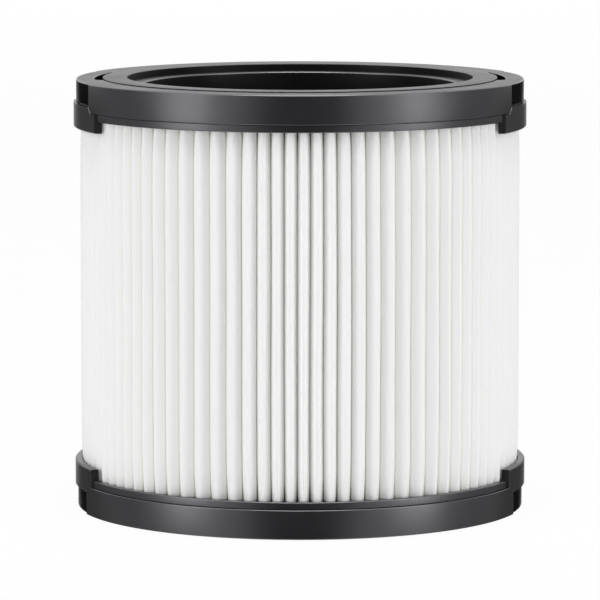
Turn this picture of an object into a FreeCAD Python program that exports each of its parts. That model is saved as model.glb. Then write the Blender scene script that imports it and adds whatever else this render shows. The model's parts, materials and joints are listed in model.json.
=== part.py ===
import FreeCAD, Part
import math
import os

# Pleated cartridge filter, open at both ends: a tube of folded media between two end caps.
# Millimetres, +Z up along the axis, origin on the axis in the plane that the lower seal stands on.

# End cap: face ring, outer band and bore collar in one moulding
CAP_SPAN = 147.0            # from the outer face of one cap to the outer face of the other
BORE_RADIUS = 53.5
LEDGE_WIDTH = 5.6           # from the bore to the seal
FACE_WIDTH = 9.9            # from the seal to the band's outside
BAND_HEIGHT = 9.9
BAND_WALL = 1.6
RIM_WIDTH = 0.6             # rounded rim of the outer face, across and down
RIM_FALL = 0.5
FLOOR_THICKNESS = 1.5       # plastic under the seat of the seal
COLLAR_WALL = 1.5
COLLAR_HEIGHT = 8.5         # from the seat of the seal to the collar's inner end

# Seal ring, laid in a seat in the cap's face
SEAL_WIDTH = 8.3
SEAL_THICKNESS = 2.35
SEAL_PROUD = 0.3            # how far the seal stands out of the cap's face
SEAL_CLEARANCE = 0.1

# Arc reliefs beside the seal, one at each clip
RELIEF_WIDTH = 2.6
RELIEF_START = -10.0        # degrees from the X axis
RELIEF_SWEEP = 31.0

# Clip on each side, on the X axis: a recessed panel in the band with a snap tab under it
UPPER_NOTCH_HALF_WIDTH = 29.2
LOWER_NOTCH_HALF_WIDTH = 26.1
PANEL_RECESS = 0.8
PANEL_HEIGHT = 7.5
PANEL_ROUND = 0.6
TAB_GAP = 0.4
TAB_HEIGHT = 7.6
TAB_THICKNESS = 2.0
TAB_PROUD = 0.1             # how far the tab stands out of the band
TAB_FLARE = 2.0             # how much each flank spreads down to the band's edge
SHOULDER_WIDTH = 3.1        # step under the band's corner, on each side
STRIP_END_GAP = 0.9         # between a shoulder and the strip's end

# Clip ring that carries the tabs and closes the cap
STRIP_HEIGHT = 2.35
STRIP_SETBACK = 0.6         # from the band's face
PARTING_GAP = 0.2           # between the band's edge and the strip
RING_CLEARANCE = 0.1        # between the band and the ring's wall
RING_WALL = 0.7

# Folded media
PLEAT_COUNT = 90
FOLD_GAP = 0.4              # between neighbouring fold tips
MEDIA_THICKNESS = 0.55
MEDIA_CLEARANCE = 0.1       # between the fold tips and the clip ring
MEDIA_END_RECESS = 0.9      # how far the folds run in behind the strip's edge
FRONT_OFFSET = 0.7          # degrees from the front to the nearest fold
BUNCHING = 1.5              # degrees that folds crowd towards the front
BUNCHING_WAVE = 64.0        # degrees from one crowding to the next
BUNCHING_SPREAD = 45.0      # degrees over which it fades

# Support core between the collars
CORE_WALL = 1.6
CORE_CLEARANCE = 0.1        # between the core and the collars
FOLD_CLEARANCE = 0.3        # between the core and the inner folds
CORE_RIB_COUNT = 12
CORE_RIB_WIDTH = 3.0
CORE_HOOP_COUNT = 3
CORE_HOOP_HEIGHT = 4.0
CORE_END_HEIGHT = 16.0      # plain stretch at each end, behind collar and potting

POTTING_CLEARANCE = 0.1

# Places that follow from the sizes; depths run inwards from a cap's outer face
SEAT_DEPTH = SEAL_THICKNESS - SEAL_PROUD
FLOOR_DEPTH = SEAT_DEPTH + FLOOR_THICKNESS
STRIP_DEPTH = BAND_HEIGHT + PARTING_GAP
RING_DEPTH = STRIP_DEPTH + STRIP_HEIGHT
MEDIA_DEPTH = RING_DEPTH - MEDIA_END_RECESS
TAB_DEPTH = PANEL_HEIGHT + TAB_GAP
SEAL_INNER_RADIUS = BORE_RADIUS + LEDGE_WIDTH
SEAL_OUTER_RADIUS = SEAL_INNER_RADIUS + SEAL_WIDTH
BAND_RADIUS = SEAL_OUTER_RADIUS + FACE_WIDTH
BAND_INNER_RADIUS = BAND_RADIUS - BAND_WALL
PANEL_RADIUS = BAND_RADIUS - PANEL_RECESS
SEAT_RADIUS = SEAL_OUTER_RADIUS + SEAL_CLEARANCE
COLLAR_RADIUS = BORE_RADIUS + COLLAR_WALL
RING_OUTER_RADIUS = BAND_INNER_RADIUS - RING_CLEARANCE
RING_INNER_RADIUS = RING_OUTER_RADIUS - RING_WALL
STRIP_RADIUS = BAND_RADIUS - STRIP_SETBACK
TAB_RADIUS = BAND_RADIUS + TAB_PROUD
MEDIA_RADIUS = RING_INNER_RADIUS - MEDIA_CLEARANCE
CORE_INNER_RADIUS = COLLAR_RADIUS + CORE_CLEARANCE
CORE_RADIUS = CORE_INNER_RADIUS + CORE_WALL
MEDIA_INNER_RADIUS = CORE_RADIUS + FOLD_CLEARANCE
LOWER_FACE = SEAL_PROUD
UPPER_FACE = LOWER_FACE + CAP_SPAN

ORIGIN = FreeCAD.Vector(0, 0, 0)
X_AXIS = FreeCAD.Vector(1, 0, 0)
Z_AXIS = FreeCAD.Vector(0, 0, 1)
FULL_TURN = 360.0
HALF_TURN = 180.0
CUT_MARGIN = 1.0            # how far a cutting tool runs past the solid


def section(radius, depth):
    """Point of a turned section: radius from the axis, depth below the cap's outer face."""
    return FreeCAD.Vector(radius, 0, -depth)


def turned(edges, start=0.0, sweep=FULL_TURN):
    """Solid swept about the axis by a closed loop of section edges."""
    solid = Part.Face(Part.Wire(edges)).revolve(ORIGIN, Z_AXIS, sweep)
    solid.rotate(ORIGIN, Z_AXIS, start)
    return solid


def straight_run(corners):
    """Straight edges from each corner to the next."""
    return [Part.makeLine(a, b) for a, b in zip(corners, corners[1:])]


def straight_loop(corners):
    """Closed loop of straight edges through the corners."""
    return straight_run(corners + corners[:1])


def plain_ring(inner, outer, depth, height, start=0.0, sweep=FULL_TURN):
    """Ring, or arc of one, with a rectangular section."""
    corners = [section(inner, depth), section(outer, depth),
               section(outer, depth + height), section(inner, depth + height)]
    return turned(straight_loop(corners), start, sweep)


def rounded_rim(outer, width, fall):
    """Arc that leaves the cap's face smoothly and falls to an outer wall, between its two ends."""
    radius = (width ** 2 + fall ** 2) / (2 * fall)
    half_turn = math.atan2(fall, width)
    start, end = section(outer - width, 0), section(outer, fall)
    middle = section(outer - width + radius * math.sin(half_turn), radius * (1 - math.cos(half_turn)))
    return start, Part.Arc(start, middle, end).toShape(), end


def across(outline):
    """Prism along X through both clips, from (half width, depth) corners mirrored about Y = 0."""
    reach = BAND_RADIUS + CUT_MARGIN
    right = [FreeCAD.Vector(-reach, width, -depth) for width, depth in outline]
    left = [FreeCAD.Vector(-reach, -width, -depth) for width, depth in reversed(outline)]
    return Part.Face(Part.Wire(straight_loop(right + left))).extrude(X_AXIS * 2 * reach)


def end_cap(notch_half_width):
    """Turned cap with the two clip notches and the arc reliefs cut out."""
    collar_depth = SEAT_DEPTH + COLLAR_HEIGHT
    start, rim, end = rounded_rim(BAND_RADIUS, RIM_WIDTH, RIM_FALL)
    corners = [end, section(BAND_RADIUS, BAND_HEIGHT),
               section(BAND_INNER_RADIUS, BAND_HEIGHT), section(BAND_INNER_RADIUS, FLOOR_DEPTH),
               section(COLLAR_RADIUS, FLOOR_DEPTH), section(COLLAR_RADIUS, collar_depth),
               section(BORE_RADIUS, collar_depth), section(BORE_RADIUS, SEAT_DEPTH),
               section(SEAT_RADIUS, SEAT_DEPTH), section(SEAT_RADIUS, 0), start]
    return turned([rim, *straight_run(corners)]).cut([notches(notch_half_width), *reliefs()])


def notches(half_width):
    """What the clips take out of the band: the space over the panels, and windows for the tabs."""
    start, rim, end = rounded_rim(PANEL_RADIUS, PANEL_ROUND, PANEL_ROUND)
    window = BAND_INNER_RADIUS - CUT_MARGIN
    outside = BAND_RADIUS + CUT_MARGIN
    below = BAND_HEIGHT + CUT_MARGIN
    corners = [end, section(PANEL_RADIUS, PANEL_HEIGHT), section(window, PANEL_HEIGHT),
               section(window, below), section(outside, below),
               section(outside, -CUT_MARGIN), section(PANEL_RADIUS - PANEL_ROUND, -CUT_MARGIN), start]
    space = turned([rim, *straight_run(corners)])
    flared = half_width + TAB_FLARE
    outline = [(half_width, -CUT_MARGIN), (half_width, PANEL_HEIGHT),
               (flared, BAND_HEIGHT), (flared, below)]
    return space.common(across(outline))


def reliefs():
    """Arc reliefs along the seal's seat, mirrored left and right."""
    relief = plain_ring(SEAT_RADIUS - SEAL_CLEARANCE, SEAT_RADIUS + RELIEF_WIDTH, -CUT_MARGIN,
                        SEAT_DEPTH + CUT_MARGIN, RELIEF_START, RELIEF_SWEEP)
    return [relief, relief.mirror(ORIGIN, X_AXIS)]


def clip_ring(notch_half_width):
    """Thin wall inside the band, the strip below the band, and the two snap tabs."""
    corners = [section(RING_INNER_RADIUS, FLOOR_DEPTH), section(RING_OUTER_RADIUS, FLOOR_DEPTH),
               section(RING_OUTER_RADIUS, STRIP_DEPTH), section(STRIP_RADIUS, STRIP_DEPTH),
               section(STRIP_RADIUS, RING_DEPTH), section(RING_INNER_RADIUS, RING_DEPTH)]
    ring = turned(straight_loop(corners))
    half_width = notch_half_width - TAB_GAP
    flared = half_width + TAB_FLARE
    shoulder = flared + SHOULDER_WIDTH
    tab_end = TAB_DEPTH + TAB_HEIGHT
    gap = shoulder + STRIP_END_GAP
    strip_gap = plain_ring(RING_OUTER_RADIUS, STRIP_RADIUS + CUT_MARGIN, STRIP_DEPTH, STRIP_HEIGHT)
    strip_gap = strip_gap.common(across([(gap, STRIP_DEPTH), (gap, RING_DEPTH)]))
    tabs = plain_ring(TAB_RADIUS - TAB_THICKNESS, TAB_RADIUS, TAB_DEPTH, TAB_HEIGHT)
    tabs = tabs.common(across([(half_width, TAB_DEPTH), (flared, STRIP_DEPTH),
                               (shoulder, STRIP_DEPTH), (shoulder, tab_end)]))
    return ring.cut(strip_gap).fuse(tabs).removeSplitter()


def seal_ring():
    """Flat seal on the floor of its seat."""
    return plain_ring(SEAL_INNER_RADIUS, SEAL_OUTER_RADIUS, -SEAL_PROUD, SEAL_THICKNESS)


def potting():
    """Cast bead between the cap's floor and the ends of the folds."""
    return plain_ring(CORE_RADIUS + POTTING_CLEARANCE, RING_INNER_RADIUS - POTTING_CLEARANCE,
                      FLOOR_DEPTH, MEDIA_DEPTH - FLOOR_DEPTH)


def fold_angle(index):
    """Angle of a fold from the front, in degrees, with the folds crowded at the front."""
    even = (index - PLEAT_COUNT // 2) * FULL_TURN / PLEAT_COUNT
    wave = math.sin(2 * math.pi * even / BUNCHING_WAVE)
    return FRONT_OFFSET + even - BUNCHING * wave * math.exp(-(even / BUNCHING_SPREAD) ** 2)


def plan_point(radius, angle):
    """Point in plan at an angle from the front, which faces -Y."""
    turn = math.radians(angle)
    return FreeCAD.Vector(radius * math.sin(turn), -radius * math.cos(turn), 0)


def tip_radius(pitch):
    """Radius of a fold's round tip, which fills its share of the circle but for the gap."""
    half_share = math.sin(math.radians(pitch / 2))
    return (MEDIA_RADIUS * half_share - FOLD_GAP / 2) / (1 + half_share)


def touch_point(centre, radius, outer, side):
    """Where the tangent from an outer point meets a circle, on the chosen side of the line."""
    line = centre - outer
    swing = side * math.acos(radius / line.Length)
    spoke = -line / line.Length * radius
    cosine, sine = math.cos(swing), math.sin(swing)
    return centre + FreeCAD.Vector(spoke.x * cosine - spoke.y * sine, spoke.x * sine + spoke.y * cosine, 0)


def fold_skins():
    """Edges of the media's outer skin, with round tips, and of its inner skin, which is creased."""
    valley_radius = MEDIA_INNER_RADIUS + MEDIA_THICKNESS
    angles = [fold_angle(index) for index in range(PLEAT_COUNT)]
    angles = [angles[-1] - FULL_TURN, *angles, angles[0] + FULL_TURN]
    valley_angles = [(a + b) / 2 for a, b in zip(angles, angles[1:])]
    outer_skin, creases = [], []
    for angle, before, after in zip(angles[1:-1], valley_angles, valley_angles[1:]):
        radius = tip_radius(after - before)
        centre = plan_point(MEDIA_RADIUS - radius, angle)
        tip = plan_point(MEDIA_RADIUS, angle)
        start, end = plan_point(valley_radius, before), plan_point(valley_radius, after)
        rise = touch_point(centre, radius, start, 1)
        fall = touch_point(centre, radius, end, -1)
        outer_skin += [Part.makeLine(start, rise), Part.Arc(rise, tip, fall).toShape(),
                       Part.makeLine(fall, end)]
        rise_shift = (centre - rise) / radius * MEDIA_THICKNESS
        fall_shift = (centre - fall) / radius * MEDIA_THICKNESS
        creases += [plan_point(MEDIA_INNER_RADIUS, before), start + rise_shift, rise + rise_shift,
                    plan_point(MEDIA_RADIUS - MEDIA_THICKNESS, angle), fall + fall_shift, end + fall_shift]
    return outer_skin, straight_loop(creases)


def pleated_media():
    """The folded sheet, standing between the two beads of potting."""
    outer_skin, inner_skin = fold_skins()
    face = Part.Face([Part.Wire(outer_skin), Part.Wire(inner_skin)])
    media = face.extrude(Z_AXIS * (CAP_SPAN - 2 * MEDIA_DEPTH))
    media.translate(Z_AXIS * (LOWER_FACE + MEDIA_DEPTH))
    return media


def support_core():
    """Lattice tube: plain ends behind the collars, with ribs and hoops between them."""
    height = CAP_SPAN - 2 * FLOOR_DEPTH
    open_height = height - 2 * CORE_END_HEIGHT
    rows = CORE_HOOP_COUNT + 1
    window_height = (open_height - CORE_HOOP_COUNT * CORE_HOOP_HEIGHT) / rows
    rib_sweep = math.degrees(CORE_RIB_WIDTH / CORE_RADIUS)
    pitch = FULL_TURN / CORE_RIB_COUNT
    windows = []
    for row in range(rows):
        depth = FLOOR_DEPTH + CORE_END_HEIGHT + row * (window_height + CORE_HOOP_HEIGHT)
        for column in range(CORE_RIB_COUNT):
            windows.append(plain_ring(CORE_INNER_RADIUS - CUT_MARGIN, CORE_RADIUS + CUT_MARGIN, depth,
                                      window_height, column * pitch, pitch - rib_sweep))
    core = plain_ring(CORE_INNER_RADIUS, CORE_RADIUS, FLOOR_DEPTH, height).cut(windows)
    core.translate(Z_AXIS * UPPER_FACE)
    return core


def save(node, shape):
    shape.exportStep(f"parts/{node}.step")


def save_upper(piece, shape):
    """Saves a piece made at the origin as the upper end's, with its outer face at the upper cap's face."""
    shape.translate(Z_AXIS * UPPER_FACE)
    save(f"upper_{piece}", shape)


def save_lower(piece, shape):
    """Saves a piece made at the origin as the lower end's, turned over."""
    shape.rotate(ORIGIN, X_AXIS, HALF_TURN)
    shape.translate(Z_AXIS * LOWER_FACE)
    save(f"lower_{piece}", shape)


os.makedirs("parts", exist_ok=True)
save("pleated_media", pleated_media())
save("support_core", support_core())
for save_end, notch_half_width in ((save_upper, UPPER_NOTCH_HALF_WIDTH), (save_lower, LOWER_NOTCH_HALF_WIDTH)):
    save_end("end_cap", end_cap(notch_half_width))
    save_end("clip_ring", clip_ring(notch_half_width))
    save_end("seal_ring", seal_ring())
    save_end("potting", potting())
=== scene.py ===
import json
import math

import bmesh
import bpy
import numpy as np
from mathutils import Matrix, Vector


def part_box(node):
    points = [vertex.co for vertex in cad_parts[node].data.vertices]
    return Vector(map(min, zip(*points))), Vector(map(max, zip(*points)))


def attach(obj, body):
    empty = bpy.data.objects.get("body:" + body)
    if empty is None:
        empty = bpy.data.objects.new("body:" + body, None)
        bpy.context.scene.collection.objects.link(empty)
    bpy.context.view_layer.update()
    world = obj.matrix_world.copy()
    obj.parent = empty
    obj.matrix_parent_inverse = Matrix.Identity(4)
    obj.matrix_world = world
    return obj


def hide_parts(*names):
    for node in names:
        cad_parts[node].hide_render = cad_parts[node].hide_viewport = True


# Looks of a pleated cartridge filter. Sizes are in millimetres and become metres as a mesh is made.
# An end piece is made with its cap's outer face at height 0 and depths running down, then set in place.

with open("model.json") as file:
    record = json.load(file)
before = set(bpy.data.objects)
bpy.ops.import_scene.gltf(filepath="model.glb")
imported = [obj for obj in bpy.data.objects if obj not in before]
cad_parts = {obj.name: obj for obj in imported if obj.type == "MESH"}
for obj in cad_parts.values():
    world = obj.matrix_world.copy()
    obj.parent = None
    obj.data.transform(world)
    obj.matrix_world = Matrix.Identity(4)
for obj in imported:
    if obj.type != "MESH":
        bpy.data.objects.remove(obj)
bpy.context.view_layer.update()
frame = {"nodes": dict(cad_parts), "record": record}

MM = 0.001
X, Y, Z = range(3)


def lowest(node, axis):
    """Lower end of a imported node's box along an axis."""
    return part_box(node)[0][axis] / MM


def highest(node, axis):
    """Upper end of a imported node's box along an axis."""
    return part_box(node)[1][axis] / MM


TAB_OVERRUN = 0.8           # how much further the tabs run in the photo than in the solids

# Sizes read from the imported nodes
BAND_RADIUS = highest("upper_end_cap", Y)
PANEL_RADIUS = highest("upper_end_cap", X)
UPPER_FACE = highest("upper_end_cap", Z)
LOWER_FACE = lowest("lower_end_cap", Z)
COLLAR_END = UPPER_FACE - lowest("upper_end_cap", Z)
FLOOR_DEPTH = UPPER_FACE - highest("upper_clip_ring", Z)
TAB_END = UPPER_FACE - lowest("upper_clip_ring", Z) + TAB_OVERRUN
TAB_RADIUS = highest("upper_clip_ring", X)
STRIP_RADIUS = highest("upper_clip_ring", Y)
SEAL_RADIUS = highest("upper_seal_ring", Y)
SEAL_PROUD = highest("upper_seal_ring", Z) - UPPER_FACE
SEAT_DEPTH = UPPER_FACE - lowest("upper_seal_ring", Z)
MEDIA_RADIUS = highest("pleated_media", Y)
MEDIA_LOW = lowest("pleated_media", Z)
MEDIA_HIGH = highest("pleated_media", Z)
CORE_RADIUS = highest("support_core", Y)
BORE_RADIUS = frame["record"]["mounts"][0]["dims"]["r_mm"]

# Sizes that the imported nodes' boxes do not give
BAND_HEIGHT = 9.9
BAND_WALL = 1.6
COLLAR_WALL = 1.5
SEAL_WIDTH = 8.3
SEAL_CLEARANCE = 0.25
RELIEF_WIDTH = 2.6
RELIEF_START = -10.0        # degrees from the X axis
RELIEF_SWEEP = 31.0
UPPER_NOTCH_HALF_WIDTH = 30.4
LOWER_NOTCH_HALF_WIDTH = 26.6
PANEL_HEIGHT = 7.5
PANEL_ROUND = 0.6
TAB_GAP = 0.4
TAB_THICKNESS = 2.3
TAB_FLARE = 2.0
SHOULDER_WIDTH = 3.1
STRIP_END_GAP = 0.9
STRIP_HEIGHT = 2.45
PARTING_GAP = 0.1
RING_CLEARANCE = 0.1
RING_WALL = 0.7
PLEAT_COUNT = 90
FOLD_GAP = 0.04
MEDIA_THICKNESS = 0.55
FOLD_CLEARANCE = 0.3
FRONT_OFFSET = 0.7          # degrees from the front to the nearest fold
BUNCHING = 1.5              # degrees that folds crowd towards the front
BUNCHING_WAVE = 64.0
BUNCHING_SPREAD = 45.0

# Rounding of moulded edges
RIM_WIDTH = 0.6             # rounded rim of the face, across and down
RIM_FALL = 0.5
EDGE_ROUND = 0.35
STRIP_ROUND = 0.12
BORE_ROUND = 0.45
SEAL_ROUND = 0.15
TAB_ROUND = 0.5
TAB_CHAMFER = 0.4
TAB_CUT_STEP = 2.0
ARC_STEPS = 5
CAP_BEVEL = 0.12
BEVEL_STEPS = 3
BEVEL_ANGLE = 60.0          # degrees above which an edge is rounded
OWN_FINISH = -1             # a rounded edge keeps the finish of the faces beside it

# Finishes and painted light of each moulding, in the order of its material slots
CAP_FINISHES_AND_PAINTED_LIGHT = ("cap", "face", "dull", "bore", "edge")
CLIP_FINISHES_AND_PAINTED_LIGHT = ("cap", "edge")
SEAL_FINISHES_AND_PAINTED_LIGHT = ("seal", "bore")
SHEER = 0.35                # upward share of a face's direction below which it counts as a wall
LEVEL = 0.95                # and above which it counts as level

# Places that follow from the sizes
BAND_INNER_RADIUS = BAND_RADIUS - BAND_WALL
COLLAR_RADIUS = BORE_RADIUS + COLLAR_WALL
SEAT_RADIUS = SEAL_RADIUS + SEAL_CLEARANCE
RING_OUTER_RADIUS = BAND_INNER_RADIUS - RING_CLEARANCE
RING_INNER_RADIUS = RING_OUTER_RADIUS - RING_WALL
STRIP_DEPTH = BAND_HEIGHT + PARTING_GAP
RING_DEPTH = STRIP_DEPTH + STRIP_HEIGHT
TAB_DEPTH = PANEL_HEIGHT + TAB_GAP
MEDIA_INNER_RADIUS = CORE_RADIUS + FOLD_CLEARANCE

# Turns and steps of the meshes
FULL_TURN = 360.0
HALF_TURN = 180.0
COLUMN_STEP = 1.5           # degrees between columns of a ring's mesh
COLUMN_CLEAR = 0.6          # degrees kept free beside a column set on purpose
SMOOTH_ANGLE = 35.0         # degrees below which an edge is shaded smooth
MERGE_DISTANCE = 1e-6

# Folds: a row of the sheet runs round the tube, and rows are stacked from one cap to the other
TIP_STEPS = 17
TIP_POWER = 1.5             # 2 for a round tip, 1 for a sharp one
FRONT_RISE = 3.6            # from a tip's edges, where the flanks start, to its crest
SIDE_RISE = 1.5             # the same where the folds are not crowded
RISE_SPREAD = 30.0          # degrees over which it changes
NUDGES = ((-19.0, 13.0, 0.7), (8.0, 11.0, 0.3), (27.0, 6.0, -0.55))  # degrees: where, how wide, how far
FLANK_STEPS = 3
PINCH = 0.25                # how much narrower each side of a tip is at the ends
PINCH_REACH = 5.0           # height over which it recovers
SWAY = 0.12                 # how far a fold wanders sideways along its height
SWAY_LENGTHS = (60, 160)    # shortest and longest wave of it
SETTLE = 0.12               # how far tips differ in reach
BULGE = 0.5                 # how far the tips stand out between the caps
BULGE_REACH = 9.0           # height over which they do so
ROW_HEIGHTS = [0, 1, 2, 3.5, 5.5, 8, 12, 20, 32, 46, 60]
FOLD_SEED = 7
INWARDS = -1                # side of the skin on which the sheet's thickness lies

# Materials; a noise is given as cells per metre and detail, a bump as strength and height in metres
NOISE_LOW = 0.3             # range of a noise that is put to use
NOISE_HIGH = 0.7
PLASTIC_CLOUD = (60, 3)
PLASTIC_GRAIN = (4200, 2)
GRAIN_BUMP = (0.12, 0.00003)
GLOSS_SPREAD = 0.03
GLOSS_TINT = (0.94, 0.94, 1, 1)
PLASTIC_INDEX = 1.5
# Higher index that gives rounded edges a painted highlight
EDGE_HIGHLIGHT_INDEX = 1.9
FELT_ROUGHNESS = 0.95
FELT_SPECULAR = 0.1
FELT_MOTTLE = (350, 4)
FELT_FIBRE = (2600, 5)
MOTTLE_BUMP = (0.03, 0.0002)
FIBRE_BUMP = (0.05, 0.00008)
SHADE_POWER = 6              # how deep between the folds the painted shade starts
SHADE_SPREAD = 0.15
# The felt's own colour on the crests, and a painted shade, darker and yellower, deep between the folds
MEDIA_CREST = (0.885, 0.885, 0.885)
MEDIA_VALLEY_SHADE = (0.88, 0.88, 0.835)
CAP_DARK = (0.0105, 0.0102, 0.0112)
CAP_LIGHT = (0.0125, 0.0122, 0.0134)
# Painted shade: darker plastic for the panels, the reliefs, the bore and the seal's walls
PAINTED_SHADE_DARK = (0.0055, 0.0055, 0.0057)
PAINTED_SHADE_LIGHT = (0.0070, 0.0070, 0.0073)
RESIN_DARK = (0.016, 0.016, 0.017)
RESIN_LIGHT = (0.024, 0.024, 0.025)
# Plastics by finish and painted light: name, dark and light colour, roughness, specular level and, for
# edges, index
PLASTICS = {
    "cap": ("cap_plastic", CAP_DARK, CAP_LIGHT, 0.33, 0.8),
    # Painted highlight: rounded edges reflect more strongly than the rest of the cap
    "edge": ("edge_plastic", CAP_DARK, CAP_LIGHT, 0.25, 0.8, EDGE_HIGHLIGHT_INDEX),
    # Painted shade: the level faces reflect less than the rest of the cap
    "face": ("face_plastic", CAP_DARK, CAP_LIGHT, 0.36, 0.45),
    # Painted shade: the panels and reliefs are darker and reflect almost nothing
    "dull": ("dull_plastic", PAINTED_SHADE_DARK, PAINTED_SHADE_LIGHT, 0.2, 0.0012),
    # Painted shade: the bore and the seal's walls are darker and reflect faintly
    "bore": ("bore_plastic", PAINTED_SHADE_DARK, PAINTED_SHADE_LIGHT, 0.4, 0.11),
    "seal": ("seal_plastic", CAP_DARK, CAP_LIGHT, 0.38, 0.5),
    "core": ("core_plastic", CAP_DARK, CAP_LIGHT, 0.5, 0.2),
    "resin": ("potting_resin", RESIN_DARK, RESIN_LIGHT, 0.55, 0.2),
}

# Stage, in metres
FLOOR_SIZE = 12.0
FLOOR_LEVEL = -0.0001       # just under the lower seal's face
FLOOR_COLOUR = (0.86, 0.86, 0.86, 1)
FLOOR_GLOW = 0.96           # share of the floor's look that is plain white
AMBIENT = 0.3
WHITE = (1, 1, 1, 1)
BOX_ANGLES = (-57.5, 59.5)  # degrees from the camera to each side lamp
BOX_DISTANCE = 1.3
BOX_HEIGHT = 0.31
BOX_WIDTH = 0.5
BOX_TALL = 1.3
BOX_RADIANCE = 3.25
TOP_PLACE = (0, -0.35, 1.4)
TOP_SIZE = 0.8
TOP_RADIANCE = 5.0
BACK_PLACE = (0, 4.0, 1.4)
BACK_SIZE = 2.5
BACK_RADIANCE = 3.5
# Cards that only reflections see: radius, middle and half sweep in degrees from the front, low, high, level
CARDS = {
    "front_card": (1.0, 0.0, 24.0, -1.2, 0.9, 0.02),
    "left_card": (1.0, -98.0, 21.0, -1.2, 0.9, 0.41),
    "right_card": (1.0, 98.0, 21.0, -1.2, 0.9, 0.41),
    "left_back_card": (0.7, -136.5, 18.5, -1.2, 0.15, 0.095),
    "right_back_card": (0.7, 136.5, 18.5, -1.2, 0.15, 0.095),
}
CARD_STEP = 4.0             # degrees

# Camera
CAMERA_DISTANCE = 1640.0
CAMERA_PITCH = 7.0          # degrees down
CAMERA_LENS = 286.2
AIM_HEIGHT = 70.62


def rounded(corners):
    """Closed outline of square corners (radius, depth, rounding or roundings before and after it)."""
    outline = []
    for index, (radius, depth, rounding) in enumerate(corners):
        here = np.array((radius, depth))
        if not rounding:
            outline.append(here)
            continue
        before = np.array(corners[index - 1][:2]) - here
        after = np.array(corners[(index + 1) % len(corners)][:2]) - here
        lengths = np.linalg.norm(before), np.linalg.norm(after)
        if min(lengths) < MERGE_DISTANCE:
            outline += [here] * (ARC_STEPS + 1)
            continue
        sizes = rounding if isinstance(rounding, tuple) else (rounding, rounding)
        start = before / lengths[0] * min(sizes[0], lengths[0] / 2)
        end = after / lengths[1] * min(sizes[1], lengths[1] / 2)
        for step in range(ARC_STEPS + 1):
            turn = math.pi / 2 * step / ARC_STEPS
            outline.append(here + start * (1 - math.sin(turn)) + end * (1 - math.cos(turn)))
    return outline


def on_ring(radius, angle, depth):
    """Point of an end piece, at an angle from the X axis in degrees."""
    turn = math.radians(angle)
    return radius * math.cos(turn), radius * math.sin(turn), -depth


def half_angle(half_width, radius):
    """Angle from the X axis, in degrees, at which a ring is as wide as that."""
    return math.degrees(math.asin(half_width / radius))


def new_piece(name, mesh, *nodes, slot):
    """Object for a finished mesh that stands for CAD nodes and rides with the whole part."""
    piece = bpy.data.objects.new(name, mesh)
    bpy.context.scene.collection.objects.link(piece)
    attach(piece, "root")
    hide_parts(*nodes)
    return piece


def finish_mesh(mesh):
    """Joins points that meet, turns the faces outwards and shades all but sharp edges smooth."""
    work = bmesh.new()
    work.from_mesh(mesh)
    bmesh.ops.remove_doubles(work, verts=work.verts, dist=MERGE_DISTANCE)
    bmesh.ops.recalc_face_normals(work, faces=work.faces)
    work.to_mesh(mesh)
    work.free()
    mesh.shade_smooth()
    mesh.set_sharp_from_angle(angle=math.radians(SMOOTH_ANGLE))
    return mesh


def loop_mesh(name, columns):
    """Closed mesh through columns of points in millimetres, each a closed outline, joined into a ring."""
    points = np.array(columns) * MM
    count, length = points.shape[:2]
    index = np.arange(count * length).reshape(count, length)
    right, up = np.roll(index, -1, axis=0), np.roll(index, -1, axis=1)
    corner = np.roll(right, -1, axis=1)
    faces = np.stack((index, right, corner, up), axis=-1).reshape(-1, 4)
    mesh = bpy.data.meshes.new(name)
    mesh.from_pydata(points.reshape(-1, 3).tolist(), [], faces.tolist())
    return mesh


def even_angles(kept):
    """Even angles round the circle, with the kept ones put in and their near neighbours left out."""
    even = np.arange(0, FULL_TURN, COLUMN_STEP)
    for angle in kept:
        distance = np.abs((even - angle + HALF_TURN) % FULL_TURN - HALF_TURN)
        even = even[distance > COLUMN_CLEAR]
    return even


def in_turn(angle, cut):
    """Sorting key of a column: at a clip's flank, the side that is met first comes first."""
    leaving = angle % HALF_TURN < HALF_TURN / 2
    return angle, cut != leaving


def place(mesh, upper):
    """Sets an end piece at the upper end, or turns it over to the lower end."""
    if upper:
        mesh.transform(Matrix.Translation((0, 0, UPPER_FACE * MM)))
    else:
        mesh.transform(Matrix.Translation((0, 0, LOWER_FACE * MM)) @ Matrix.Rotation(math.pi, 4, "X"))
    return mesh


def from_x_axis(angle):
    """Degrees between a direction and the X axis."""
    return abs((angle + HALF_TURN / 2) % HALF_TURN - HALF_TURN / 2)


def relief_width(angle):
    """Width of the arc relief beside the seal at an angle, with round ends; 0 where there is none."""
    turns = [(side + HALF_TURN) % FULL_TURN - HALF_TURN for side in (angle, HALF_TURN - angle)]
    from_x = min(turns, key=abs)
    from_end = min(from_x - RELIEF_START, RELIEF_START + RELIEF_SWEEP - from_x)
    if from_end <= 0:
        return 0.0
    run = math.radians(from_end) * SEAT_RADIUS
    if run >= RELIEF_WIDTH:
        return RELIEF_WIDTH
    return RELIEF_WIDTH * math.sqrt(1 - (1 - run / RELIEF_WIDTH) ** 2)


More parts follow.
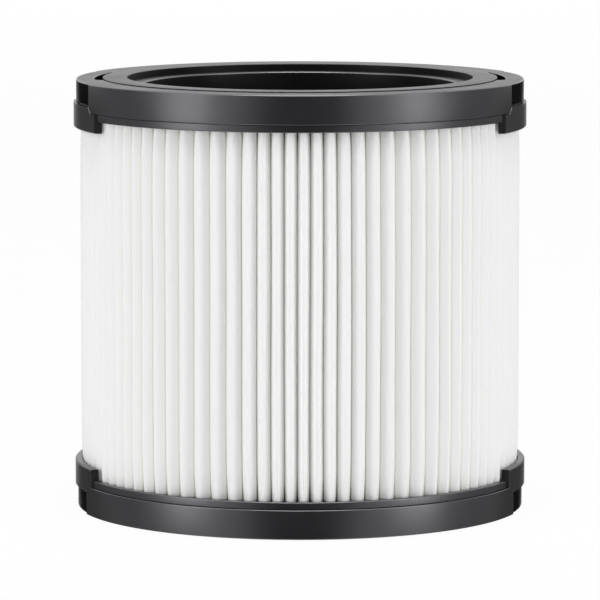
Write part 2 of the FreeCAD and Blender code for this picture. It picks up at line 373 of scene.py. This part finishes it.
def cap_outline(angle, notched):
    """Section of the end cap at an angle, either through the band or through a clip's panel."""
    seat = SEAT_RADIUS + relief_width(angle)
    outer, rim = (PANEL_RADIUS, PANEL_ROUND) if notched else (BAND_RADIUS, (RIM_WIDTH, RIM_FALL))
    bend, bottom = (PANEL_HEIGHT / 2, PANEL_HEIGHT) if notched else (PANEL_HEIGHT, BAND_HEIGHT)
    return rounded([
        (BORE_RADIUS, SEAT_DEPTH, BORE_ROUND), (SEAL_RADIUS, SEAT_DEPTH, 0),
        (seat, SEAT_DEPTH, 0), (seat, 0, EDGE_ROUND),
        (outer, 0, rim), (outer, bend, 0), (outer, bottom, EDGE_ROUND), (BAND_INNER_RADIUS, bottom, 0),
        (BAND_INNER_RADIUS, FLOOR_DEPTH, 0), (COLLAR_RADIUS, FLOOR_DEPTH, 0),
        (COLLAR_RADIUS, COLLAR_END, 0), (BORE_RADIUS, COLLAR_END, EDGE_ROUND)])


def relief_angles():
    """Columns that the reliefs' round ends need."""
    end_run = math.degrees(RELIEF_WIDTH / SEAT_RADIUS)
    shares = [1 - math.cos(math.pi / 2 * step / ARC_STEPS) for step in range(ARC_STEPS + 1)]
    near = [RELIEF_START + end_run * share for share in shares]
    far = [RELIEF_START + RELIEF_SWEEP - end_run * share for share in shares]
    return [side % FULL_TURN for angle in near + far for side in (angle, HALF_TURN - angle)]


def cap_columns(half_width):
    """Columns of the cap's mesh, as (angle, angle at the band's edge, through a panel or not)."""
    flank = half_angle(half_width, BAND_RADIUS)
    flare = half_angle(half_width + TAB_FLARE, BAND_RADIUS)
    reliefs = relief_angles()
    flanks = [centre + side * a for centre in (0, HALF_TURN) for side in (-1, 1) for a in (flank, flare)]
    columns = []
    for angle in [*even_angles(reliefs + flanks), *reliefs]:
        from_x = from_x_axis(angle)
        if not flank < from_x < flare:
            columns.append((angle % FULL_TURN, angle % FULL_TURN, from_x < flank))
    for centre in (0, HALF_TURN):
        for side in (-1, 1):
            at, edge = ((centre + side * a) % FULL_TURN for a in (flank, flare))
            columns += [(at, edge, False), (at, at, True)]
    return sorted(columns, key=lambda column: in_turn(column[0], column[2]))


def end_cap(name, half_width, upper):
    """Face ring, outer band with two clip panels, and bore collar."""
    columns = []
    for angle, edge_angle, notched in cap_columns(half_width):
        outline = cap_outline(angle, notched)
        columns.append([on_ring(r, edge_angle if d > PANEL_HEIGHT and r > RING_OUTER_RADIUS else angle, d)
                        for r, d in outline])
    mesh = finish_mesh(loop_mesh(name, columns))
    for face in mesh.polygons:
        face.material_index = CAP_FINISHES_AND_PAINTED_LIGHT.index(finish_and_painted_light_of(face, half_width))
    return place(mesh, upper)


def finish_and_painted_light_of(face, half_width):
    """Finish of a face of the cap, with painted light: painted shade in the reliefs, on the panels and in
    the bore, a weaker reflection on level faces as painted shade, and a stronger one at rounded edges as a
    painted highlight.
    """
    x, y, z = face.center / MM
    radius = math.hypot(x, y)
    # Painted shade, a darker plastic with almost no reflection, in the reliefs beside the seal
    if SEAL_RADIUS < radius < SEAT_RADIUS + RELIEF_WIDTH and -FLOOR_DEPTH < z < -EDGE_ROUND:
        return "dull"
    # Level faces get the weaker reflection of painted shade, rounded edges the stronger one of a painted
    # highlight
    if abs(face.normal.z) > SHEER:
        return "face" if abs(face.normal.z) > LEVEL else "edge"
    # Painted shade in the bore
    if radius < BORE_RADIUS:
        return "bore"
    # The same painted shade on the clip panels
    shaded_panel = abs(y) < half_width and PANEL_RADIUS - PANEL_ROUND < radius < PANEL_RADIUS
    return "dull" if shaded_panel else "cap"


def clip_strip(name, half_width, upper):
    """Thin wall inside the band with the strip below the band, which stops beside the tabs."""
    flared = half_width - TAB_GAP + TAB_FLARE
    stop = half_angle(flared + SHOULDER_WIDTH + STRIP_END_GAP, STRIP_RADIUS)
    stops = [(centre + side * stop) % FULL_TURN for centre in (0, HALF_TURN) for side in (-1, 1)]
    columns = [(angle, from_x_axis(angle) < stop) for angle in even_angles(stops)]
    columns += [(angle, cut) for angle in stops for cut in (False, True)]
    columns.sort(key=lambda column: in_turn(*column))
    loops = []
    for angle, cut in columns:
        outer = RING_OUTER_RADIUS if cut else STRIP_RADIUS
        loops.append([on_ring(r, angle, d) for r, d in rounded([
            (RING_INNER_RADIUS, FLOOR_DEPTH, 0), (RING_OUTER_RADIUS, FLOOR_DEPTH, 0),
            (RING_OUTER_RADIUS, STRIP_DEPTH, 0), (outer, STRIP_DEPTH, STRIP_ROUND),
            (outer, RING_DEPTH, EDGE_ROUND), (RING_INNER_RADIUS, RING_DEPTH, EDGE_ROUND)])])
    mesh = finish_mesh(place(loop_mesh(name, loops), upper))
    for face in mesh.polygons:
        # Painted highlight: the strip's rounded edges take the more strongly reflecting plastic
        highlight_edge = SHEER < abs(face.normal.z) < LEVEL
        face.material_index = CLIP_FINISHES_AND_PAINTED_LIGHT.index("edge" if highlight_edge else "cap")
    return mesh


def tab_outline(half_width):
    """One snap tab seen along X, as (Y, depth) corners: flared flanks over square shoulders."""
    top = half_width - TAB_GAP
    flared = top + TAB_FLARE
    shoulder = flared + SHOULDER_WIDTH
    right = [(top, TAB_DEPTH), (flared, STRIP_DEPTH), (shoulder, STRIP_DEPTH), (shoulder, TAB_END)]
    return right + [(-y, depth) for y, depth in reversed(right)]


def tab_plate(outline, side):
    """Curved plate with that outline, between the tab's inner and outer radius."""
    work = bmesh.new()
    work.faces.new([work.verts.new((0, y, -depth)) for y, depth in outline])
    widest = max(y for y, depth in outline)
    for y in np.arange(-widest, widest, TAB_CUT_STEP)[1:]:
        bmesh.ops.bisect_plane(work, geom=[*work.verts, *work.edges, *work.faces],
                               plane_co=(0, y, 0), plane_no=(0, 1, 0))
    bmesh.ops.bisect_plane(work, geom=[*work.verts, *work.edges, *work.faces],
                           plane_co=(0, 0, TAB_CHAMFER - TAB_END), plane_no=(0, 0, 1))
    front = bmesh.ops.extrude_face_region(work, geom=list(work.faces))["geom"]
    front = {item for item in front if isinstance(item, bmesh.types.BMVert)}
    for vert in work.verts:
        chamfer = max(TAB_CHAMFER - TAB_END - vert.co.z, 0)
        radius = TAB_RADIUS - chamfer if vert in front else TAB_RADIUS - TAB_THICKNESS
        vert.co.x = side * math.sqrt(radius ** 2 - vert.co.y ** 2)
        vert.co *= MM
    mesh = bpy.data.meshes.new("tab")
    work.to_mesh(mesh)
    work.free()
    return mesh


def clip_ring(name, half_width, upper):
    """The strip and its two snap tabs as one mesh."""
    work = bmesh.new()
    work.from_mesh(clip_strip(name, half_width, upper))
    for side in (-1, 1):
        work.from_mesh(finish_mesh(place(tab_plate(tab_outline(half_width), side), upper)))
    mesh = bpy.data.meshes.new(name)
    work.to_mesh(mesh)
    work.free()
    return mesh


def seal_ring(name, upper):
    """Flat ring with rounded edges, standing a little out of the cap's face."""
    inner = SEAL_RADIUS - SEAL_WIDTH
    outline = rounded([(inner, -SEAL_PROUD, SEAL_ROUND), (SEAL_RADIUS, -SEAL_PROUD, SEAL_ROUND),
                       (SEAL_RADIUS, SEAT_DEPTH, 0), (inner, SEAT_DEPTH, 0)])
    columns = [[on_ring(r, angle, d) for r, d in outline] for angle in np.arange(0, FULL_TURN, COLUMN_STEP)]
    mesh = finish_mesh(loop_mesh(name, columns))
    for face in mesh.polygons:
        # Painted shade: the seal's walls take the bore's darker plastic
        shaded_wall = abs(face.normal.z) < SHEER
        face.material_index = SEAL_FINISHES_AND_PAINTED_LIGHT.index("bore" if shaded_wall else "seal")
    return place(mesh, upper)


def fold_angles():
    """Angles of the folds from the front, in degrees, crowded at the front as in the CAD source."""
    even = (np.arange(PLEAT_COUNT) - PLEAT_COUNT // 2) * FULL_TURN / PLEAT_COUNT
    wave = np.sin(2 * np.pi * even / BUNCHING_WAVE)
    angles = FRONT_OFFSET + even - BUNCHING * wave * np.exp(-(even / BUNCHING_SPREAD) ** 2)
    return angles + sum(amount * np.exp(-((even - at) / reach) ** 2) for at, reach, amount in NUDGES)


def fold_outline(turns, edge_radius, rise, pinch):
    """One fold as (across, along) points: a valley, a flank, the tip and a flank."""
    valley_radius = MEDIA_INNER_RADIUS + MEDIA_THICKNESS
    left, right = (edge_radius * math.sin(turn) - FOLD_GAP / 2 - pinch for turn in turns)
    half_start, half_end = (valley_radius * math.sin(turn) for turn in turns)
    along_start, along_end = (valley_radius * math.cos(turn) for turn in turns)
    steps = np.linspace(0, 1, FLANK_STEPS + 1)
    rising = [(-half_start * (1 - s) - left * s, along_start * (1 - s) + edge_radius * s)
              for s in steps[:-1]]
    tip = [(share * (left if share < 0 else right), edge_radius + rise * (1 - abs(share) ** TIP_POWER))
           for share in np.linspace(-1, 1, TIP_STEPS)]
    falling = [(half_end * s + right * (1 - s), along_end * s + edge_radius * (1 - s))
               for s in steps[1:-1]]
    return rising + tip + falling


def fold_row(height, angles, reaches, rises, sways):
    """One row of the sheet's outer skin, all the way round the tube."""
    from_end = min(height - MEDIA_LOW, MEDIA_HIGH - height)
    pinch = PINCH * math.exp(-(from_end / PINCH_REACH) ** 2)
    bulge = BULGE * (1 - math.exp(-(from_end / BULGE_REACH) ** 2))
    waves = np.sin(2 * np.pi * height / sways[:, 0] + sways[:, 1])
    turned = np.radians(angles) + SWAY * waves / MEDIA_RADIUS
    valleys = (turned + np.roll(turned, 1)) / 2
    valleys[0] -= math.pi  # it lies between the last fold and the first, across the back
    after = np.append(valleys[1:], valleys[0] + 2 * math.pi)
    row = []
    for turn, start, end, reach, rise in zip(turned, valleys, after, reaches, rises):
        outline = fold_outline((abs(turn - start), abs(turn - end)), reach + bulge - rise, rise, pinch)
        sine, cosine = math.sin(turn), math.cos(turn)
        row += [(across * cosine + along * sine, across * sine - along * cosine, height)
                for across, along in outline]
    return row


def row_heights():
    """Heights of the rows, close together near the caps."""
    middle = (MEDIA_LOW + MEDIA_HIGH) / 2
    rows = [MEDIA_LOW + h for h in ROW_HEIGHTS] + [middle] + [MEDIA_HIGH - h for h in ROW_HEIGHTS]
    return sorted(set(rows))


def pleated_media(name):
    """The folded sheet's outer skin; a solidify modifier gives it its thickness inwards."""
    random = np.random.RandomState(FOLD_SEED)
    angles = fold_angles()
    reaches = MEDIA_RADIUS - SETTLE * random.rand(PLEAT_COUNT)
    rises = SIDE_RISE + (FRONT_RISE - SIDE_RISE) * np.exp(-(angles / RISE_SPREAD) ** 2)
    lengths = random.uniform(*SWAY_LENGTHS, PLEAT_COUNT)
    phases = random.uniform(0, 2 * np.pi, PLEAT_COUNT)
    sways = np.stack((lengths, phases), axis=1)
    points = np.array([fold_row(h, angles, reaches, rises, sways) for h in row_heights()]) * MM
    count, length = points.shape[:2]
    index = np.arange(count * length).reshape(count, length)
    low, high = index[:-1], index[1:]
    faces = np.stack((low, np.roll(low, -1, axis=1), np.roll(high, -1, axis=1), high), axis=-1)
    mesh = bpy.data.meshes.new(name)
    mesh.from_pydata(points.reshape(-1, 3).tolist(), [], faces.reshape(-1, 4).tolist())
    # How deep each point of a fold lies, 1 in the valleys and on the flanks and 0 on the crest; it places
    # the painted shade
    tip = list(np.linspace(-1, 1, TIP_STEPS) ** SHADE_POWER)
    fold = [1.0] * FLANK_STEPS + tip + [1.0] * (FLANK_STEPS - 1)
    depth = mesh.attributes.new("depth", "FLOAT", "POINT")
    depth.data.foreach_set("value", np.tile(fold, PLEAT_COUNT * count))
    mesh.shade_smooth()
    return mesh


def node_material(name):
    """New material with its principled shader and a way to add and join nodes."""
    material = bpy.data.materials.new(name)
    material.use_nodes = True
    return material, material.node_tree.nodes, material.node_tree.links


def noise(nodes, links, scale, detail):
    """Noise texture in the object's own coordinates, with a scale in cells per metre."""
    place_node = nodes.new("ShaderNodeTexCoord")
    texture = nodes.new("ShaderNodeTexNoise")
    texture.inputs["Scale"].default_value = scale
    texture.inputs["Detail"].default_value = detail
    links.new(place_node.outputs["Object"], texture.inputs["Vector"])
    return texture.outputs["Fac"]


def spread(nodes, links, value, low, high):
    """Maps a noise value to a range."""
    mapping = nodes.new("ShaderNodeMapRange")
    mapping.inputs["From Min"].default_value = NOISE_LOW
    mapping.inputs["From Max"].default_value = NOISE_HIGH
    mapping.inputs["To Min"].default_value = low
    mapping.inputs["To Max"].default_value = high
    links.new(value, mapping.inputs["Value"])
    return mapping.outputs["Result"]


def shade(nodes, links, value, dark, light):
    """Colour between two, by a noise value."""
    ramp = nodes.new("ShaderNodeValToRGB")
    ramp.color_ramp.elements[0].position = NOISE_LOW
    ramp.color_ramp.elements[0].color = (*dark, 1)
    ramp.color_ramp.elements[1].position = NOISE_HIGH
    ramp.color_ramp.elements[1].color = (*light, 1)
    links.new(value, ramp.inputs["Fac"])
    return ramp.outputs["Color"]


def bump(nodes, links, height, strength, distance, base=None):
    """Bump node over a height value, with another bump below it if one is given."""
    node = nodes.new("ShaderNodeBump")
    node.inputs["Strength"].default_value = strength
    node.inputs["Distance"].default_value = distance
    links.new(height, node.inputs["Height"])
    if base is not None:
        links.new(base, node.inputs["Normal"])
    return node.outputs["Normal"]


def moulded_plastic(name, dark, light, roughness, specular, index=PLASTIC_INDEX):
    """Charcoal moulded plastic: faint mottling, uneven gloss and a fine spark-eroded grain."""
    material, nodes, links = node_material(name)
    shader = nodes["Principled BSDF"]
    shader.inputs["Specular IOR Level"].default_value = specular
    shader.inputs["IOR"].default_value = index
    shader.inputs["Specular Tint"].default_value = GLOSS_TINT
    cloud = noise(nodes, links, *PLASTIC_CLOUD)
    grain = noise(nodes, links, *PLASTIC_GRAIN)
    gloss = spread(nodes, links, cloud, roughness - GLOSS_SPREAD, roughness + GLOSS_SPREAD)
    links.new(shade(nodes, links, cloud, dark, light), shader.inputs["Base Color"])
    links.new(gloss, shader.inputs["Roughness"])
    links.new(bump(nodes, links, grain, *GRAIN_BUMP), shader.inputs["Normal"])
    return material


def felted_media(name):
    """White non-woven filter felt: fibres, slight mottling and a painted shade, darker and yellower, deep
    between the folds.
    """
    material, nodes, links = node_material(name)
    shader = nodes["Principled BSDF"]
    shader.inputs["Roughness"].default_value = FELT_ROUGHNESS
    shader.inputs["Specular IOR Level"].default_value = FELT_SPECULAR
    mottle = noise(nodes, links, *FELT_MOTTLE)
    fibre = noise(nodes, links, *FELT_FIBRE)
    depth = nodes.new("ShaderNodeAttribute")
    depth.attribute_name = "depth"
    shade_and_mottle = nodes.new("ShaderNodeMath")
    shade_and_mottle.operation = "ADD"
    links.new(depth.outputs["Fac"], shade_and_mottle.inputs[0])
    links.new(spread(nodes, links, mottle, -SHADE_SPREAD, SHADE_SPREAD), shade_and_mottle.inputs[1])
    # Painted shade: darker and yellower where the folds are deep, its edge made uneven by the mottling noise
    colour = shade(nodes, links, shade_and_mottle.outputs["Value"], MEDIA_CREST, MEDIA_VALLEY_SHADE)
    links.new(colour, shader.inputs["Base Color"])
    wide = bump(nodes, links, mottle, *MOTTLE_BUMP)
    links.new(bump(nodes, links, fibre, *FIBRE_BUMP, wide), shader.inputs["Normal"])
    return material


def bevel(piece, width, finish_and_painted_light=OWN_FINISH):
    """Rounds what sharp edges are left on a piece, in a slot of its own if one is given, such as the painted
    highlight of the clips.
    """
    modifier = piece.modifiers.new("edges", "BEVEL")
    modifier.width = width * MM
    modifier.segments = BEVEL_STEPS
    modifier.material = finish_and_painted_light
    modifier.limit_method = "ANGLE"
    modifier.angle_limit = math.radians(BEVEL_ANGLE)


def dress_end(end, upper, half_width, materials):
    """Cap, clip ring and seal of one end."""
    cap = new_piece(f"{end}_cap_moulding", end_cap(f"{end}_cap", half_width, upper),
                    f"{end}_end_cap", slot="cap_plastic")
    for finish_and_painted_light in CAP_FINISHES_AND_PAINTED_LIGHT:
        cap.data.materials.append(materials[finish_and_painted_light])
    bevel(cap, CAP_BEVEL)
    clip = new_piece(f"{end}_clip_moulding", clip_ring(f"{end}_clip", half_width, upper),
                     f"{end}_clip_ring", slot="clip_plastic")
    for finish_and_painted_light in CLIP_FINISHES_AND_PAINTED_LIGHT:
        clip.data.materials.append(materials[finish_and_painted_light])
    # The clip's rounded edges take the painted highlight
    bevel(clip, TAB_ROUND, CLIP_FINISHES_AND_PAINTED_LIGHT.index("edge"))
    seal = new_piece(f"{end}_seal", seal_ring(f"{end}_seal", upper),
                     f"{end}_seal_ring", slot="seal_plastic")
    for finish_and_painted_light in SEAL_FINISHES_AND_PAINTED_LIGHT:
        seal.data.materials.append(materials[finish_and_painted_light])


def dress_media(materials):
    """The folded sheet between the caps."""
    media = new_piece("folded_felt", pleated_media("folded_felt"), "pleated_media", slot="filter_media")
    media.data.materials.append(materials["media"])
    thickness = media.modifiers.new("thickness", "SOLIDIFY")
    thickness.thickness = MEDIA_THICKNESS * MM
    thickness.offset = INWARDS


def dress_inside(materials):
    """Material for the CAD pieces that keep their shape."""
    for node, material in (("support_core", "core"), ("upper_potting", "resin"), ("lower_potting", "resin")):
        piece = frame["nodes"][node]
        piece.data.materials.clear()
        piece.data.materials.append(materials[material])


def seen_rays(nodes, links):
    """1 for camera, glossy and transmission rays, and 0 for the light that falls on the object."""
    path = nodes.new("ShaderNodeLightPath")
    total = path.outputs["Is Camera Ray"]
    for other in ("Is Glossy Ray", "Is Transmission Ray"):
        both = nodes.new("ShaderNodeMath")
        both.operation = "ADD"
        both.use_clamp = True
        links.new(total, both.inputs[0])
        links.new(path.outputs[other], both.inputs[1])
        total = both.outputs["Value"]
    return total


def white_world():
    """White to look at, and a soft even light on the object."""
    world = bpy.data.worlds.new("studio")
    bpy.context.scene.world = world
    world.use_nodes = True
    nodes, links = world.node_tree.nodes, world.node_tree.links
    ambient = nodes["Background"]
    ambient.inputs["Strength"].default_value = AMBIENT
    ambient.inputs["Color"].default_value = WHITE
    backdrop = nodes.new("ShaderNodeBackground")
    backdrop.inputs["Color"].default_value = WHITE
    mix = nodes.new("ShaderNodeMixShader")
    links.new(seen_rays(nodes, links), mix.inputs["Fac"])
    links.new(ambient.outputs["Background"], mix.inputs[1])
    links.new(backdrop.outputs["Background"], mix.inputs[2])
    links.new(mix.outputs["Shader"], nodes["World Output"].inputs["Surface"])


def floor_material():
    """Pale floor that looks almost white and keeps a faint shadow."""
    material, nodes, links = node_material("pale_floor")
    shader = nodes["Principled BSDF"]
    shader.inputs["Base Color"].default_value = FLOOR_COLOUR
    shader.inputs["Roughness"].default_value = 1.0
    shader.inputs["Specular IOR Level"].default_value = 0.0
    glow = nodes.new("ShaderNodeEmission")
    mix = nodes.new("ShaderNodeMixShader")
    share = nodes.new("ShaderNodeMath")
    share.operation = "MULTIPLY"
    share.inputs[1].default_value = FLOOR_GLOW
    links.new(seen_rays(nodes, links), share.inputs[0])
    links.new(share.outputs["Value"], mix.inputs["Fac"])
    links.new(shader.outputs["BSDF"], mix.inputs[1])
    links.new(glow.outputs["Emission"], mix.inputs[2])
    links.new(mix.outputs["Shader"], nodes["Material Output"].inputs["Surface"])
    return material


def pale_floor():
    """Floor under the object, which the plastic doesn't mirror."""
    half = FLOOR_SIZE / 2
    corners = ((-half, -half), (half, -half), (half, half), (-half, half))
    mesh = bpy.data.meshes.new("floor")
    mesh.from_pydata([(x, y, FLOOR_LEVEL) for x, y in corners], [], [(0, 1, 2, 3)])
    mesh.materials.append(floor_material())
    floor = bpy.data.objects.new("floor", mesh)
    bpy.context.scene.collection.objects.link(floor)
    floor.visible_glossy = False
    floor.visible_shadow = False


def aimed(name, data, location, target):
    """Object that looks from a place at a target."""
    thing = bpy.data.objects.new(name, data)
    bpy.context.scene.collection.objects.link(thing)
    thing.location = location
    thing.rotation_euler = (Vector(target) - Vector(location)).to_track_quat("-Z", "Y").to_euler()
    return thing


def soft_box(name, location, width, height, radiance):
    """Area lamp of a given radiance, aimed at the middle of the object."""
    lamp = bpy.data.lights.new(name, "AREA")
    lamp.shape = "RECTANGLE"
    lamp.size, lamp.size_y = width, height
    lamp.energy = radiance * math.pi * width * height
    return aimed(name, lamp, location, (0, 0, AIM_HEIGHT * MM))


def soft_boxes():
    """Two tall soft lamps at the sides, one over the object and one far behind for its back."""
    soft_box("top_box", TOP_PLACE, TOP_SIZE, TOP_SIZE, TOP_RADIANCE)
    back = soft_box("back_box", BACK_PLACE, BACK_SIZE, BACK_SIZE, BACK_RADIANCE)
    back.visible_glossy = False
    back.visible_camera = False
    for angle in BOX_ANGLES:
        turn = math.radians(angle)
        location = (BOX_DISTANCE * math.sin(turn), -BOX_DISTANCE * math.cos(turn), BOX_HEIGHT)
        soft_box("side_box", location, BOX_WIDTH, BOX_TALL, BOX_RADIANCE)


def card_mesh(name, radius, middle, half_sweep, low, high):
    """Upright strip of a cylinder round the object."""
    turns = np.radians(np.arange(middle - half_sweep, middle + half_sweep + CARD_STEP, CARD_STEP))
    points = [(radius * math.sin(t), -radius * math.cos(t), z) for z in (low, high) for t in turns]
    count = len(turns)
    faces = [(i, i + 1, count + i + 1, count + i) for i in range(count - 1)]
    mesh = bpy.data.meshes.new(name)
    mesh.from_pydata(points, [], faces)
    return mesh


def dark_cards():
    """Cards that darken what the plastic mirrors, in front, at the sides and low behind."""
    for name, (*shape, level) in CARDS.items():
        material, nodes, links = node_material(name)
        glow = nodes.new("ShaderNodeEmission")
        glow.inputs["Strength"].default_value = level
        links.new(glow.outputs["Emission"], nodes["Material Output"].inputs["Surface"])
        mesh = card_mesh(name, *shape)
        mesh.materials.append(material)
        card = bpy.data.objects.new(name, mesh)
        bpy.context.scene.collection.objects.link(card)
        for rays in ("camera", "diffuse", "transmission", "shadow", "volume_scatter"):
            setattr(card, f"visible_{rays}", False)


def photo_camera():
    """Camera of the photograph, in front of the filter and a little above it."""
    data = bpy.data.cameras.new("photo")
    data.lens = CAMERA_LENS
    pitch = math.radians(CAMERA_PITCH)
    aim = Vector((0, 0, AIM_HEIGHT * MM))
    back = Vector((0, -math.cos(pitch), math.sin(pitch))) * CAMERA_DISTANCE * MM
    bpy.context.scene.camera = aimed("photo_camera", data, aim + back, aim)


materials = {finish_and_painted_light: moulded_plastic(*values) for finish_and_painted_light, values in PLASTICS.items()}
materials["media"] = felted_media("filter_media")
dress_end("upper", True, UPPER_NOTCH_HALF_WIDTH, materials)
dress_end("lower", False, LOWER_NOTCH_HALF_WIDTH, materials)
dress_media(materials)
dress_inside(materials)
white_world()
pale_floor()
soft_boxes()
dark_cards()
photo_camera()
bpy.context.scene.view_settings.view_transform = "Standard"
